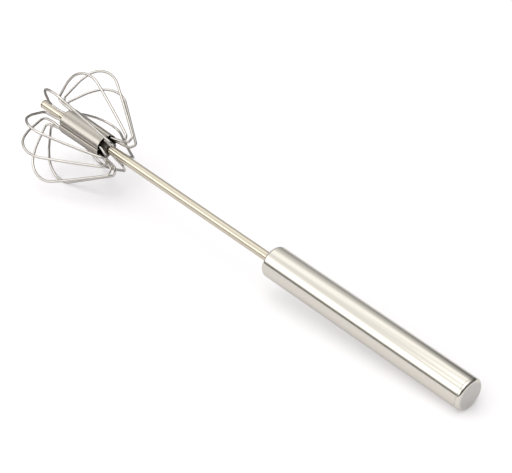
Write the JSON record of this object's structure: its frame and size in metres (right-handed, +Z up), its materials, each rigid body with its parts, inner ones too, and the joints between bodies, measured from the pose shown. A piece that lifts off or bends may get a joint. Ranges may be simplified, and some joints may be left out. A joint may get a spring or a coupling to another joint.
{
  "type": "push-down rotary whisk",
  "caption": "Hand egg beater with a plain tube handle that is pushed down over a thin shaft to spin a head of bent wire loops.",
  "frame": {"origin": "centre of the footprint, on the surface the tool lies on", "axes": "+X from the whisk head to the handle's end cap, +Z up; the tool's axis rises 4.5 degrees towards the head"},
  "size_m": [0.3112, 0.0648, 0.0591],
  "materials": {
    "handle_steel": "finely brushed along its length",
    "cap_steel": "satin pressed disc",
    "shaft_steel": "bright drawn tube",
    "wire_steel": "bright drawn wire",
    "sleeve_steel": "satin rolled sheet",
    "spring_steel": "drawn spring wire",
    "strip_steel": "rolled strip",
    "black_plastic": "moulded, glossy",
    "white_plastic": "moulded, slightly waxy"
  },
  "bodies": {
    "handle": {"handle_tube": "handle_steel", "end_cap": "cap_steel", "strip_anchor": "strip_steel", "anchor_pin": "spring_steel", "drive_strip": "strip_steel", "return_spring": "spring_steel", "guide_bush": "black_plastic"},
    "carrier": {"thrust_washer": "strip_steel"},
    "whisk": {"drive_nut": "white_plastic", "crimp_ring": "strip_steel", "shaft_tube": "shaft_steel", "tip_plug": "shaft_steel", "hub_bush": "black_plastic", "hub_sleeve": "sleeve_steel", "whisk_wire_01": "wire_steel", "whisk_wire_02": "wire_steel", "whisk_wire_03": "wire_steel", "whisk_wire_04": "wire_steel", "whisk_wire_05": "wire_steel", "whisk_wire_06": "wire_steel", "whisk_wire_07": "wire_steel", "whisk_wire_08": "wire_steel", "whisk_wire_09": "wire_steel", "whisk_wire_10": "wire_steel"}
  },
  "joints": [
    {"name": "push", "type": "slide", "parent": "handle", "child": "carrier", "axis": [0.9968, 0, -0.0797], "range_m": [0, 0.07], "stiffness_N_per_m": 120, "springref_m": -0.035, "deforming": ["return_spring"]},
    {"name": "spin", "type": "hinge", "parent": "carrier", "child": "whisk", "pos_m": [0.04672, 0.00089, 0.01699], "axis": [0.9968, 0, -0.0797], "range_deg": [0, 901]}
  ],
  "couplings": [
    {"joint": "spin", "follows": "push", "rad_per_m": 224.4}
  ]
}
